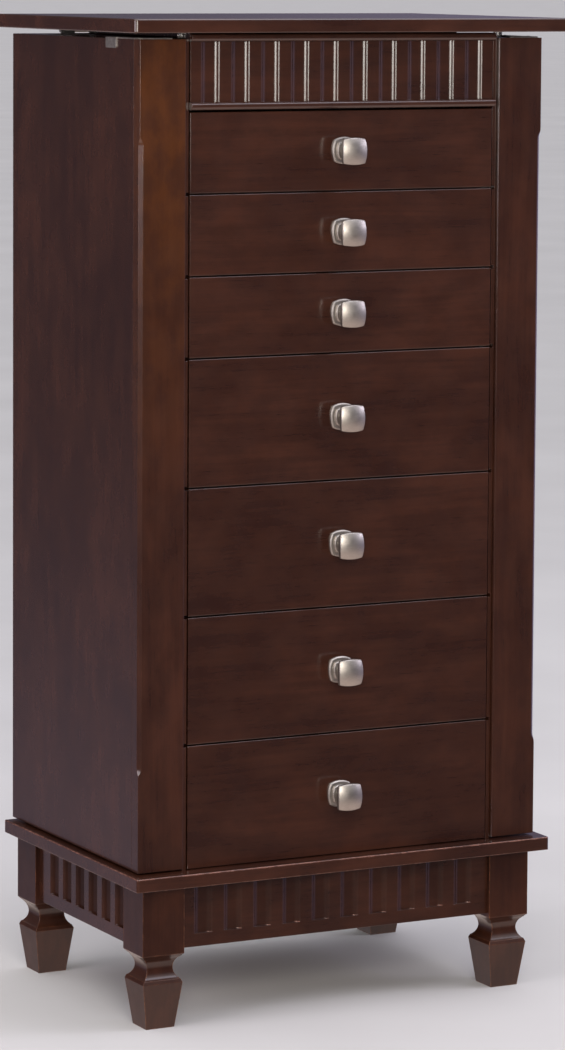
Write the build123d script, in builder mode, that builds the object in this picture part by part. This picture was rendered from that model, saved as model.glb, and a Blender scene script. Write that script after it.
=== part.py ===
from build123d import *
import os
from math import atan, degrees, radians, sin, sqrt

# Jewellery chest on four legs: a hinged lid over a lined tray, seven drawers between two
# partitions, and a swing-out necklace door on each side, hinged at the back.
# It stands on the XY plane, faces -Y, and +X is to the right of someone facing it.

# ---- Driving dimensions, in millimetres ----
HEIGHT = 1016.0
LID_WIDTH = 495.0
LID_DEPTH = 336.0
LID_THICKNESS = 14.0
LID_OVERHANG = 26.0  # of the lid past the front of the case
LID_GAP = 6.6  # between the case and the closed lid, which stands on its bumpers
CASE_WIDTH = 459.0
CASE_FLOOR = 160.4  # top of the base moulding

# Hinges: a barrel stands behind the back of the chest.
BARREL_RADIUS = 2.5
BARREL_OFFSET = 2.7  # from the back plane to the barrel's axis
PIN_RADIUS = 1.2
PIN_CLEARANCE = 0.05
LEAF_THICKNESS = 1.2
LEAF_WIDTH = 10.0
LEAF_INSET = 3.0  # from the barrel's axis to the flat of a leaf
EAR_OVERLAP = 0.4  # of a knuckle's ear with the flat of its leaf
KNUCKLE = 16.0
KNUCKLE_GAP = 0.4
HINGE_LENGTH = 3 * KNUCKLE + 2 * KNUCKLE_GAP
LID_HINGE_X = 150.0
DOOR_HINGE_INSET = 70.0  # of the outer door hinges from the ends of the case

# ---- Planes that the pieces share ----
BACK = LID_DEPTH / 2 - (BARREL_OFFSET + BARREL_RADIUS) / 2
LID_FRONT = BACK - LID_DEPTH
FRONT = LID_FRONT + LID_OVERHANG  # face of the door stiles and of the legs
LID_BOTTOM = HEIGHT - LID_THICKNESS
CASE_TOP = LID_BOTTOM - LID_GAP
SIDE = CASE_WIDTH / 2  # outer face of each door
PIVOT_Y = BACK + BARREL_OFFSET

# ---- Base ----
MOULDING_WIDTH = 477.0
MOULDING_THICKNESS = 13.4
MOULDING_OVERHANG = 18.4
MOULDING_BOTTOM = CASE_FLOOR - MOULDING_THICKNESS
LEG_SIZE = 46.2
# A leg's profile from the block down: (inset from the block's face, height)
LEG_CHAMFER = ((0.0, 76.4), (2.8, 73.4))
LEG_COVE = ((8.8, 61.8), (3.6, 50.7))
LEG_FOOT = ((2.7, 50.3), (1.1, 46.9), (7.4, 0.0))
LEG_SPAN = 447.2  # outside to outside
APRON_THICKNESS = 14.0
APRON_SETBACK = 4.7  # behind the legs' faces
APRON_BOTTOM = 80.5
APRON_RAIL = 13.5  # plain strip below the flutes

# ---- Flutes of the frieze and the aprons ----
FLUTE_PITCH = 33.5
FLUTE_COUNT = 10
FLUTE_FLAT = 7.5
FLUTE_WALL = 7.2
FLUTE_DEPTH = 2.8
SIDE_FLUTE_PITCH = 32.0
SIDE_FLUTE_COUNT = 6
SIDE_FLUTE_SHIFT = -9.6  # the side flutes sit forward of the middle of their board
FRONT_FLUTE_SHIFT = -3.0

# ---- Doors ----
STILE_INNER = 179.0
STILE_THICKNESS = 14.7
DOOR_THICKNESS = 14.0
DOOR_CLEARANCE = 2.0  # above the base moulding
CHAMFER_LOW = 258.0
CHAMFER_HIGH = 902.0
CHAMFER_SIZE = 3.4
TONGUE_LENGTH = 11.0  # of the curved run-out at each end of the chamfer

# ---- Case ----
PARTITION_INNER = 174.2
PARTITION_OUTER = 186.0
PARTITION_SETBACK = 4.0
REBATE_X = 178.6  # the partition is cut back beyond here, where the stile closes
REBATE_DEPTH = 15.2
POST_DEPTH = 20.0
POST_OUTER = SIDE - DOOR_THICKNESS - 0.6
RAIL_DEPTH = 18.0
RAIL_HEIGHT = 35.4
PANEL_THICKNESS = 6.0
DADO_DEPTH = 3.0
DIVIDER_THICKNESS = 4.0

# ---- Drawers, from the top down ----
TOP_JOINT = 923.6
SMALL_PITCH = 82.2
SMALL_COUNT = 3
LARGE_PITCH = 130.0
DRAWER_COUNT = 7
DRAWER_SETBACK = 3.0
FRONT_HALF_WIDTH = 173.0
FRONT_THICKNESS = 14.0
JOINT_GAP = 1.6
BOX_HALF_WIDTH = 172.0
BOX_BACK = BACK - POST_DEPTH - 2.0
BOX_SIDE = 8.0
BOX_BOTTOM = 4.0
BOX_CLEARANCE = 0.8
BOX_HEADROOM = 6.0
GLUE_LINE = 0.1

# ---- Frieze and tray ----
FRIEZE_LOW = 932.7
FRIEZE_HIGH = 993.0
FRIEZE_THICKNESS = 12.0
MOULD_HEIGHT = 7.7
MOULD_PROUD = 3.0
TRAY_FLOOR_THICKNESS = 5.0
TRAY_WALL = 6.0
TRAY_WALL_HEIGHT = 48.0
TRAY_FRONT_DEPTH = 84.0
TRAY_CROSS_X = 58.0
RING_PAD_HEIGHT = 24.0

# ---- Knobs, measured out from the face of the drawer front ----
KNOB_SIZE = 27.5
KNOB_PROJECTION = 28.0
PLATE_BOW = 2.6
HEAD_BOW = 1.3
PLATE_TOP = 3.0
RISER_TOP = 5.4
RISER_SHARE = 0.7  # of the base plate's size
NECK_TOP = 19.0
NECK_RADIUS = 6.2
DOME_RADIUS = 34.0

# ---- Small fittings ----
CATCH_LOW = 884.0
CATCH_HIGH = 932.0
CATCH_WIDTH = 11.0
CATCH_DEPTH = 16.0
BUMPER_X = 181.0
BUMPER_SETBACK = 7.0
BUMPER_RADIUS = 4.5
BUMPER_CLEARANCE = 0.5  # above the partition
PLATE_THICKNESS = 1.2
PLATE_ARM = (8.0, 78.0)  # of the corner plate along the door panel, behind the stile's face
PLATE_CROSS_X = 193.0
PLATE_CROSS = (3.0, 12.0)
TAB_START = 54.0
TAB_DROP = 9.5
HOOK_COUNT = 6
HOOK_START = 62.0
HOOK_PITCH = 32.0
HOOK_DROP = 75.0
POUCH_DEPTH = 17.0
POUCH_WALL = 3.0
POUCH_LOW = 22.0  # above the base moulding
POUCH_HIGH = 132.0
POUCH_FRONT = 34.0
POUCH_REAR = 44.0


def save(piece, name):
    """Labels a finished piece and writes it as parts/name.step."""
    piece.part.label = name
    export_step(piece.part, f"parts/{name}.step")


def board(x, y, z):
    """Adds a board that fills three (low, high) ranges to the part that is being built."""
    with Locations(((x[0] + x[1]) / 2, (y[0] + y[1]) / 2, (z[0] + z[1]) / 2)):
        Box(x[1] - x[0], y[1] - y[0], z[1] - z[0])


def side_range(side, inner, outer):
    """The X range between two distances from the middle, on the side -1 or 1."""
    return (min(side * inner, side * outer), max(side * inner, side * outer))


# ---------------------------------------------------------------- base

def leg_outline(plane):
    """Outline of a leg on an upright plane through its middle: block, cove, step and taper."""
    half = LEG_SIZE / 2
    block = [(half - inset, height) for inset, height in LEG_CHAMFER]
    cove = [(half - inset, height) for inset, height in LEG_COVE]
    foot = [(half - inset, height) for inset, height in LEG_FOOT]
    with BuildSketch(plane) as outline:
        with BuildLine():
            Polyline((0, MOULDING_BOTTOM), (half, MOULDING_BOTTOM), *block)
            ThreePointArc(block[-1], *cove)
            Polyline(cove[-1], *foot, (0, 0))
            mirror(about=Plane.YZ)
        make_face()
    return outline.sketch


def make_leg(name, side, y):
    x = side * (LEG_SPAN - LEG_SIZE) / 2
    front_view = leg_outline(Plane((x, y, 0), x_dir=(1, 0, 0), z_dir=(0, -1, 0)))
    side_view = leg_outline(Plane((x, y, 0), x_dir=(0, 1, 0), z_dir=(1, 0, 0)))
    with BuildPart() as leg:
        extrude(front_view, amount=LEG_SIZE / 2, both=True)
        extrude(side_view, amount=LEG_SIZE / 2, both=True, mode=Mode.INTERSECT)
    save(leg, name)


def groove_outline():
    """Section of one flute: a flat bed between two ogee walls, open at the board's face."""
    turn = 2 * degrees(atan(FLUTE_DEPTH / FLUTE_WALL))
    radii = FLUTE_WALL / sin(radians(turn))
    lip_radius = radii / 3
    lip = (-FLUTE_FLAT / 2 - FLUTE_WALL, 0)
    with BuildSketch() as groove:
        with BuildLine():
            lip_arc = JernArc(start=lip, tangent=(1, 0), radius=lip_radius, arc_size=turn)
            cove = JernArc(start=lip_arc @ 1, tangent=lip_arc % 1, radius=radii - lip_radius, arc_size=-turn)
            Line(cove @ 1, (0, FLUTE_DEPTH))
            Polyline(lip, (lip[0], -1), (0, -1))
            mirror(about=Plane.YZ)
        make_face()
    return groove.sketch


def fluted_board(face, half_length, thickness, height, flutes, flute_start=0.0):
    """Board standing on the plane face, whose local X runs along it and Y into it."""
    groove = groove_outline()
    with BuildPart() as panel:
        with BuildSketch(face):
            with Locations((0, thickness / 2)):
                Rectangle(2 * half_length, thickness)
        extrude(amount=height)
        with BuildSketch(face.offset(flute_start)):
            with Locations([(place, 0) for place in flutes]):
                add(groove)
        extrude(amount=height, mode=Mode.SUBTRACT)
    return panel


def flute_places(count, pitch, shift=0.0):
    """Middles of a row of flutes, about the middle of their board."""
    return [(index - (count - 1) / 2) * pitch + shift for index in range(count)]


def make_base():
    leg_y = {"front": FRONT + LEG_SIZE / 2, "rear": BACK - LEG_SIZE / 2}
    for end, y in leg_y.items():
        make_leg(f"leg_{end}_left", -1, y)
        make_leg(f"leg_{end}_right", 1, y)

    height = MOULDING_BOTTOM - APRON_BOTTOM
    half_length = LEG_SPAN / 2 - LEG_SIZE
    front_face = Plane((0, FRONT + APRON_SETBACK, APRON_BOTTOM), x_dir=(1, 0, 0))
    places = flute_places(FLUTE_COUNT, FLUTE_PITCH, FRONT_FLUTE_SHIFT)
    front = fluted_board(front_face, half_length, APRON_THICKNESS, height, places, APRON_RAIL)
    save(front, "apron_front")

    side_half = (BACK - FRONT) / 2 - LEG_SIZE
    side_middle = (BACK + FRONT) / 2
    side_x = LEG_SPAN / 2 - APRON_SETBACK
    for side, name in ((-1, "apron_left"), (1, "apron_right")):
        face = Plane((side * side_x, side_middle, APRON_BOTTOM), x_dir=(0, side, 0))
        shift = side * SIDE_FLUTE_SHIFT
        places = flute_places(SIDE_FLUTE_COUNT, SIDE_FLUTE_PITCH, shift)
        apron = fluted_board(face, side_half, APRON_THICKNESS, height, places, APRON_RAIL)
        save(apron, name)

    with BuildPart() as apron_rear:
        rear = (BACK - APRON_SETBACK - APRON_THICKNESS, BACK - APRON_SETBACK)
        board((-half_length, half_length), rear, (APRON_BOTTOM, MOULDING_BOTTOM))
    save(apron_rear, "apron_rear")

    with BuildPart() as base_moulding:
        half = MOULDING_WIDTH / 2
        board((-half, half), (FRONT - MOULDING_OVERHANG, BACK), (MOULDING_BOTTOM, CASE_FLOOR))
        fillet(base_moulding.edges().filter_by(Axis.Z).group_by(Axis.Y)[0], 3.0)
        fillet(base_moulding.faces().sort_by(Axis.Z)[-1].edges(), 0.9)
    save(base_moulding, "base_moulding")


# ---------------------------------------------------------------- case

def drawer_joints():
    """Heights of the lines between the drawer fronts, from above the first to below the last."""
    small = [TOP_JOINT - index * SMALL_PITCH for index in range(SMALL_COUNT + 1)]
    large_count = DRAWER_COUNT - SMALL_COUNT - 1
    large = [small[-1] - (index + 1) * LARGE_PITCH for index in range(large_count)]
    return small + large + [CASE_FLOOR]


JOINTS = drawer_joints()
TRAY_FLOOR = TOP_JOINT + DIVIDER_THICKNESS / 2 + TRAY_FLOOR_THICKNESS
PARTITION_FRONT = FRONT + PARTITION_SETBACK
DIVIDER_FRONT = FRONT + DRAWER_SETBACK + FRONT_THICKNESS + 0.6
CASE_INSIDE_BACK = BACK - POST_DEPTH


def make_partitions():
    with BuildPart() as partitions:
        for side in (-1, 1):
            thickness = side_range(side, PARTITION_INNER, PARTITION_OUTER)
            board(thickness, (PARTITION_FRONT, CASE_INSIDE_BACK), (CASE_FLOOR, CASE_TOP))
        with BuildSketch(Plane.XY.offset(CASE_FLOOR)):
            for side in (-1, 1):
                rebate = PARTITION_OUTER - REBATE_X
                with Locations((side * (REBATE_X + rebate / 2), FRONT + REBATE_DEPTH / 2)):
                    Rectangle(rebate, REBATE_DEPTH)
        extrude(amount=CASE_TOP - CASE_FLOOR, mode=Mode.SUBTRACT)
        for joint in JOINTS[1:-1]:
            with Locations((0, (PARTITION_FRONT + CASE_INSIDE_BACK) / 2, joint)):
                width = 2 * (PARTITION_INNER + DADO_DEPTH)
                Box(width, CASE_INSIDE_BACK - PARTITION_FRONT, DIVIDER_THICKNESS, mode=Mode.SUBTRACT)
    save(partitions, "partitions")


def make_dividers():
    half = PARTITION_INNER + DADO_DEPTH
    depth = (DIVIDER_FRONT, CASE_INSIDE_BACK)
    with BuildPart() as dividers:
        for joint in JOINTS[1:-1]:
            low = joint - DIVIDER_THICKNESS / 2
            board((-half, half), depth, (low, low + DIVIDER_THICKNESS))
    save(dividers, "drawer_dividers")


def make_back():
    with BuildPart() as rear_posts:
        for side in (-1, 1):
            width = side_range(side, PARTITION_INNER, POST_OUTER)
            board(width, (CASE_INSIDE_BACK, BACK), (CASE_FLOOR, CASE_TOP))
    save(rear_posts, "rear_posts")

    inside = (-PARTITION_INNER, PARTITION_INNER)
    with BuildPart() as back_rails:
        board(inside, (BACK - RAIL_DEPTH, BACK), (CASE_FLOOR, CASE_FLOOR + RAIL_HEIGHT))
        board(inside, (BACK - RAIL_DEPTH, BACK), (CASE_TOP - RAIL_HEIGHT, CASE_TOP))
    save(back_rails, "back_rails")

    with BuildPart() as back_panel:
        depth = (BACK - 2 * PANEL_THICKNESS, BACK - PANEL_THICKNESS)
        board(inside, depth, (CASE_FLOOR + RAIL_HEIGHT, CASE_TOP - RAIL_HEIGHT))
    save(back_panel, "back_panel")


def make_frieze():
    frieze_face = Plane((0, FRONT + DRAWER_SETBACK, FRIEZE_LOW), x_dir=(1, 0, 0))
    height = FRIEZE_HIGH - FRIEZE_LOW
    places = flute_places(FLUTE_COUNT, FLUTE_PITCH)
    frieze = fluted_board(frieze_face, FRONT_HALF_WIDTH, FRIEZE_THICKNESS, height, places)
    with frieze:
        # A wider tongue behind the face meets the partitions.
        rear = (FRONT + DRAWER_SETBACK + FRIEZE_THICKNESS / 2, FRONT + DRAWER_SETBACK + FRIEZE_THICKNESS)
        board((-PARTITION_INNER, PARTITION_INNER), rear, (FRIEZE_LOW, FRIEZE_HIGH))
    save(frieze, "frieze_panel")

    # Two half-round mouldings, below and above the flutes.
    with BuildPart() as mouldings:
        depth = (FRONT - MOULD_PROUD, FRONT + DRAWER_SETBACK + FRIEZE_THICKNESS)
        half = FRONT_HALF_WIDTH + 1.0
        for low in (FRIEZE_LOW - MOULD_HEIGHT, FRIEZE_HIGH):
            board((-half, half), depth, (low, low + MOULD_HEIGHT))
        noses = mouldings.edges().filter_by(Axis.X).group_by(Axis.Y)[0]
        fillet(noses, MOULD_HEIGHT / 2 - 0.4)
    save(mouldings, "frieze_mouldings")


def make_tray():
    inside = (-PARTITION_INNER, PARTITION_INNER)
    front = FRONT + DRAWER_SETBACK + FRIEZE_THICKNESS
    low = TRAY_FLOOR - TRAY_FLOOR_THICKNESS
    with BuildPart() as tray_floor:
        board(inside, (front, CASE_INSIDE_BACK), (low, TRAY_FLOOR))
    save(tray_floor, "tray_floor")

    wall_y = front + TRAY_FRONT_DEPTH
    with BuildPart() as tray_dividers:
        upright = (TRAY_FLOOR, TRAY_FLOOR + TRAY_WALL_HEIGHT)
        board(inside, (wall_y, wall_y + TRAY_WALL), upright)
        for side in (-1, 1):
            cross = side * TRAY_CROSS_X
            depth = (wall_y + TRAY_WALL + GLUE_LINE, CASE_INSIDE_BACK)
            board((cross - TRAY_WALL / 2, cross + TRAY_WALL / 2), depth, upright)
    save(tray_dividers, "tray_dividers")

    with BuildPart() as ring_pad:
        clear = 1.5
        width = (-PARTITION_INNER + clear, PARTITION_INNER - clear)
        board(width, (front + clear, wall_y - clear), (TRAY_FLOOR, TRAY_FLOOR + RING_PAD_HEIGHT))
    save(ring_pad, "ring_pad")


def make_door_catches():
    """A magnetic catch behind each door stile, screwed to the partition."""
    with BuildPart() as catches:
        for side in (-1, 1):
            width = side_range(side, PARTITION_OUTER, PARTITION_OUTER + CATCH_WIDTH)
            depth = (FRONT + REBATE_DEPTH, FRONT + REBATE_DEPTH + CATCH_DEPTH)
            board(width, depth, (CATCH_LOW, CATCH_HIGH))
        fillet(catches.edges().filter_by(Axis.X), 1.5)
    save(catches, "door_catches")


# ---------------------------------------------------------------- hinges

# A butt hinge lies flat on the back of the chest. In its own plane, local Z runs along the
# barrel, local Y points out of the back and local X towards the moving leaf.

def hinge_frames():
    """The frames of the lid's, the left door's and the right door's hinges."""
    lid_z = LID_BOTTOM - LID_GAP / 2
    lid_x = (-LID_HINGE_X, LID_HINGE_X)
    lid = [Plane((x, BACK, lid_z), x_dir=(0, 0, 1), z_dir=(1, 0, 0)) for x in lid_x]
    door_x = (POST_OUTER + SIDE - DOOR_THICKNESS) / 2
    low, high = CASE_FLOOR + DOOR_HINGE_INSET, CASE_TOP - DOOR_HINGE_INSET
    heights = (low, (CASE_FLOOR + CASE_TOP) / 2, high)
    left = [Plane((-door_x, BACK, z), x_dir=(-1, 0, 0), z_dir=(0, 0, -1)) for z in heights]
    right = [Plane((door_x, BACK, z), x_dir=(1, 0, 0), z_dir=(0, 0, 1)) for z in heights]
    return lid, left, right


def knuckle_spans(moving):
    """Where the knuckles of a leaf lie along the barrel: the middle one moves."""
    start = -HINGE_LENGTH / 2
    step = KNUCKLE + KNUCKLE_GAP
    indexes = (1,) if moving else (0, 2)
    return [(start + index * step, start + index * step + KNUCKLE) for index in indexes]


def frame_sign(frame):
    """1 where local Y of a hinge frame points out of the back, else -1."""
    return 1 if frame.y_dir.Y > 0 else -1


def leaves(frames, moving):
    """One leaf and its knuckles for each hinge, as separate solids."""
    bore = PIN_RADIUS + PIN_CLEARANCE
    direction = 1 if moving else -1
    with BuildPart() as group:
        for frame in frames:
            out = frame_sign(frame)
            start = frame.offset(-HINGE_LENGTH / 2)
            with BuildSketch(start):
                middle = direction * (LEAF_INSET + LEAF_WIDTH / 2)
                with Locations((middle, out * LEAF_THICKNESS / 2)):
                    Rectangle(LEAF_WIDTH, LEAF_THICKNESS)
            extrude(amount=HINGE_LENGTH)
            ear = direction * (LEAF_INSET / 2 + EAR_OVERLAP)
            for low, high in knuckle_spans(moving):
                with BuildSketch(frame.offset(low)):
                    with Locations((ear, out * LEAF_THICKNESS / 2)):
                        Rectangle(LEAF_INSET, LEAF_THICKNESS)
                    with Locations((0, out * BARREL_OFFSET)):
                        Circle(BARREL_RADIUS)
                        Circle(bore, mode=Mode.SUBTRACT)
                extrude(amount=high - low)
    return group


def make_hinges():
    lid, left, right = hinge_frames()
    save(leaves(lid + left + right, moving=False), "case_hinge_leaves")
    save(leaves(lid, moving=True), "lid_hinge_leaves")
    save(leaves(left, moving=True), "left_door_hinge_leaves")
    save(leaves(right, moving=True), "right_door_hinge_leaves")

    with BuildPart() as pins:
        for frame in lid + left + right:
            with BuildSketch(frame.offset(-HINGE_LENGTH / 2)):
                with Locations((0, frame_sign(frame) * BARREL_OFFSET)):
                    Circle(PIN_RADIUS)
            extrude(amount=HINGE_LENGTH)
    save(pins, "hinge_pins")


# ---------------------------------------------------------------- lid

def make_lid():
    half = LID_WIDTH / 2
    with BuildPart() as lid_panel:
        board((-half, half), (LID_FRONT, BACK), (LID_BOTTOM, HEIGHT))
        fillet(lid_panel.edges().filter_by(Axis.Z).group_by(Axis.Y)[0], 4.0)
        fillet(lid_panel.faces().sort_by(Axis.Z)[-1].edges(), 2.0)
        fillet(lid_panel.faces().sort_by(Axis.Z)[0].edges(), 1.2)
    save(lid_panel, "lid_panel")

    frame_x, frame_depth, frame_bar = 155.0, 226.0, 20.0
    frame_shift, frame_clearance, glass_thickness = 15.0, 0.8, 3.0
    frame_y = (LID_FRONT + BACK) / 2 + frame_shift
    frame_low = CASE_TOP + frame_clearance
    with BuildPart() as mirror_frame:
        with BuildSketch(Plane.XY.offset(frame_low)):
            with Locations((0, frame_y)):
                RectangleRounded(2 * frame_x, frame_depth, 3)
                Rectangle(2 * (frame_x - frame_bar), frame_depth - 2 * frame_bar, mode=Mode.SUBTRACT)
        extrude(amount=LID_BOTTOM - frame_low)
    save(mirror_frame, "mirror_frame")

    with BuildPart() as glass:
        with BuildSketch(Plane.XY.offset(LID_BOTTOM - glass_thickness)):
            with Locations((0, frame_y)):
                Rectangle(2 * (frame_x - frame_bar) - GLUE_LINE, frame_depth - 2 * frame_bar - GLUE_LINE)
        extrude(amount=glass_thickness)
    save(glass, "mirror")

    # Clear bumpers under the lid's front corners, over the partitions.
    bumper_y = FRONT + BUMPER_SETBACK
    with BuildPart() as bumpers:
        with BuildSketch(Plane.XY.offset(CASE_TOP + BUMPER_CLEARANCE)):
            with Locations((-BUMPER_X, bumper_y), (BUMPER_X, bumper_y)):
                Circle(BUMPER_RADIUS)
        extrude(amount=LID_GAP - BUMPER_CLEARANCE)
        fillet(bumpers.faces().filter_by(Axis.Z).group_by(Axis.Z)[0].edges(), BUMPER_RADIUS / 2)
    save(bumpers, "lid_bumpers")


# ---------------------------------------------------------------- doors

DOOR_LOW = CASE_FLOOR + DOOR_CLEARANCE
DOOR_INNER = SIDE - DOOR_THICKNESS


def make_door_panel(side, name):
    with BuildPart() as panel:
        depth = (FRONT + STILE_THICKNESS, BACK)
        board(side_range(side, DOOR_INNER, SIDE), depth, (DOOR_LOW, CASE_TOP))
        outer = panel.faces().sort_by(Axis.X)[-1 if side > 0 else 0]
        fillet(outer.edges().filter_by(Axis.Y), 0.8)
    save(panel, f"{name}_door_panel")


def make_stile(side, name):
    """Front stile of a door, with a stopped chamfer that runs out in lamb's tongues."""
    corner = Plane((side * SIDE, FRONT, 0), x_dir=(-side, 1, 0), z_dir=(1, side, 0))
    chamfer_depth = CHAMFER_SIZE / sqrt(2)
    middle = (CHAMFER_LOW + CHAMFER_HIGH) / 2
    start, end = (0, CHAMFER_LOW), (chamfer_depth, CHAMFER_LOW + TONGUE_LENGTH)
    half_way = TONGUE_LENGTH / 2
    with BuildPart() as stile:
        board(side_range(side, STILE_INNER, SIDE), (FRONT, FRONT + STILE_THICKNESS), (DOOR_LOW, CASE_TOP))
        with BuildSketch(corner):
            with BuildLine():
                Bezier(start, (0, start[1] + half_way), (chamfer_depth, end[1] - half_way), end)
                Line(end, (chamfer_depth, middle))
                Polyline(start, (-3, CHAMFER_LOW), (-3, middle))
                mirror(about=Plane((0, middle, 0), z_dir=(0, 1, 0)))
            make_face()
        extrude(amount=2 * CHAMFER_SIZE, both=True, mode=Mode.SUBTRACT)
        inner = stile.faces().sort_by(Axis.X)[0 if side > 0 else -1]
        fillet(inner.edges().filter_by(Axis.Z).group_by(Axis.Y)[0], 1.0)
    save(stile, f"{name}_door_stile")


def make_corner_plate(side, name):
    """Steel plate that ties the stile to the panel at the top, with a tab down the outside."""
    arm_start, arm_end = PLATE_ARM
    cross_start, cross_end = PLATE_CROSS
    with BuildPart() as plate:
        top = (CASE_TOP, CASE_TOP + PLATE_THICKNESS)
        board(side_range(side, DOOR_INNER + 1, SIDE), (FRONT + arm_start, FRONT + arm_end), top)
        board(side_range(side, PLATE_CROSS_X, SIDE - 3), (FRONT + cross_start, FRONT + cross_end), top)
        tab = side_range(side, SIDE, SIDE + PLATE_THICKNESS)
        tab_depth = (FRONT + TAB_START, FRONT + arm_end)
        board(tab, tab_depth, (CASE_TOP - TAB_DROP, CASE_TOP + PLATE_THICKNESS))
        corners = plate.edges().filter_by(Axis.X).group_by(Axis.Z)[0]
        fillet(corners, 1.5)
    save(plate, f"{name}_corner_plate")


def make_hooks(side, name):
    """Necklace hooks: a round rose, a straight shank and an upturned tip."""
    wire, reach, turn_radius = 1.2, 7.0, 4.5
    rose_radius, rose_thickness = 4.2, 1.6
    hook_z = CASE_TOP - HOOK_DROP
    with BuildPart() as hooks:
        for index in range(HOOK_COUNT):
            y = FRONT + HOOK_START + index * HOOK_PITCH
            wall = Plane((side * DOOR_INNER, y, hook_z), x_dir=(0, side, 0), z_dir=(-side, 0, 0))
            with BuildSketch(wall):
                Circle(rose_radius)
            extrude(amount=rose_thickness)
            section = Plane((side * DOOR_INNER, y, hook_z), x_dir=(-side, 0, 0), z_dir=(0, side, 0))
            with BuildLine(section) as path:
                shank = Line((0, 0), (reach, 0))
                JernArc(start=shank @ 1, tangent=shank % 1, radius=turn_radius, arc_size=100)
            with BuildSketch(wall):
                Circle(wire)
            sweep(path=path.wires()[0])
    save(hooks, f"{name}_necklace_hooks")


def make_pouch(side, name):
    """Fabric pocket low on the inside of a door, open at the top."""
    low, high = CASE_FLOOR + POUCH_LOW, CASE_FLOOR + POUCH_HIGH
    front, rear = FRONT + POUCH_FRONT, BACK - POUCH_REAR
    with BuildPart() as pouch:
        board(side_range(side, DOOR_INNER - POUCH_DEPTH, DOOR_INNER), (front, rear), (low, high))
        middle_x = side * (DOOR_INNER - POUCH_DEPTH / 2)
        with BuildSketch(Plane((middle_x, (front + rear) / 2, high), x_dir=(1, 0, 0))):
            Rectangle(POUCH_DEPTH - 2 * POUCH_WALL, rear - front - 2 * POUCH_WALL)
        extrude(amount=-(high - low - POUCH_WALL), mode=Mode.SUBTRACT)
    save(pouch, f"{name}_pouch")


def make_doors():
    for side, name in ((-1, "left"), (1, "right")):
        make_door_panel(side, name)
        make_stile(side, name)
        make_corner_plate(side, name)
        make_hooks(side, name)
        make_pouch(side, name)


# ---------------------------------------------------------------- drawers

def bowed_square(size, bow, corner, plane):
    """Square whose four sides bow outwards, with rounded corners."""
    half = size / 2 - bow
    with BuildSketch(plane) as outline:
        with BuildLine():
            ThreePointArc((half, -half), (half + bow, 0), (half, half))
            ThreePointArc((half, half), (0, half + bow), (-half, half))
            ThreePointArc((-half, half), (-half - bow, 0), (-half, -half))
            ThreePointArc((-half, -half), (0, -half - bow), (half, -half))
        make_face()
        fillet(outline.vertices(), corner)
    return outline.sketch


def make_knob(number, z):
    """Square knob: two bowed plates, a round neck and a pillow-shaped head."""
    face = FRONT + DRAWER_SETBACK
    wall = Plane((0, face, z), x_dir=(1, 0, 0), z_dir=(0, -1, 0))
    riser_size, riser_bow = RISER_SHARE * KNOB_SIZE, RISER_SHARE * PLATE_BOW
    base = bowed_square(KNOB_SIZE, PLATE_BOW, 1.2, wall)
    riser = bowed_square(riser_size, riser_bow, 0.9, wall.offset(PLATE_TOP))
    head = bowed_square(KNOB_SIZE, HEAD_BOW, 2.0, wall.offset(NECK_TOP))
    with BuildPart() as knob:
        extrude(base, amount=PLATE_TOP)
        chamfer(knob.faces().sort_by(Axis.Y)[0].edges(), 1.2)
        extrude(riser, amount=RISER_TOP - PLATE_TOP)
        chamfer(knob.faces().sort_by(Axis.Y)[0].edges(), 0.9)
        with BuildSketch(wall.offset(RISER_TOP)):
            Circle(NECK_RADIUS)
        extrude(amount=NECK_TOP - RISER_TOP)
    with BuildPart() as cap:
        extrude(head, amount=KNOB_PROJECTION - NECK_TOP)
        with Locations((0, face - KNOB_PROJECTION + DOME_RADIUS, z)):
            Sphere(DOME_RADIUS, mode=Mode.INTERSECT)
        fillet(cap.faces().sort_by(Axis.Y)[-1].edges(), 1.6)
        fillet(cap.faces().sort_by(Axis.Y)[0].edges(), 1.4)
    with knob:
        add(cap.part)
    save(knob, f"drawer_{number}_knob")


def make_drawer(number, high, low):
    face = FRONT + DRAWER_SETBACK
    top, bottom = high - JOINT_GAP / 2, low + JOINT_GAP / 2
    with BuildPart() as front:
        width = (-FRONT_HALF_WIDTH, FRONT_HALF_WIDTH)
        board(width, (face, face + FRONT_THICKNESS), (bottom, top))
        fillet(front.faces().sort_by(Axis.Y)[0].edges(), 0.7)
    save(front, f"drawer_{number}_front")

    box_front = face + FRONT_THICKNESS + GLUE_LINE
    on_moulding = number == DRAWER_COUNT
    shelf = low if on_moulding else low + DIVIDER_THICKNESS / 2
    box_low = shelf + BOX_CLEARANCE
    box_high = high - DIVIDER_THICKNESS / 2 - BOX_HEADROOM
    inner = BOX_HALF_WIDTH - BOX_SIDE - GLUE_LINE
    with BuildPart() as box:
        for side in (-1, 1):
            thickness = side_range(side, BOX_HALF_WIDTH - BOX_SIDE, BOX_HALF_WIDTH)
            board(thickness, (box_front, BOX_BACK), (box_low, box_high))
        board((-inner, inner), (BOX_BACK - BOX_SIDE, BOX_BACK), (box_low, box_high))
        floor_depth = (box_front, BOX_BACK - BOX_SIDE - GLUE_LINE)
        board((-inner, inner), floor_depth, (box_low, box_low + BOX_BOTTOM))
    save(box, f"drawer_{number}_box")
    make_knob(number, (high + low) / 2)


def make_drawers():
    for number in range(1, DRAWER_COUNT + 1):
        make_drawer(number, JOINTS[number - 1], JOINTS[number])


os.makedirs("parts", exist_ok=True)
make_base()
make_partitions()
make_dividers()
make_back()
make_frieze()
make_tray()
make_door_catches()
make_hinges()
make_lid()
make_doors()
make_drawers()
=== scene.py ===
"""The looks of a tall jewellery chest: stained wood, satin nickel, felt linings and soft studio light.

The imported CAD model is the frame. Lengths are in metres, +Z is up and the chest faces -Y.
"""

import math

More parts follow.
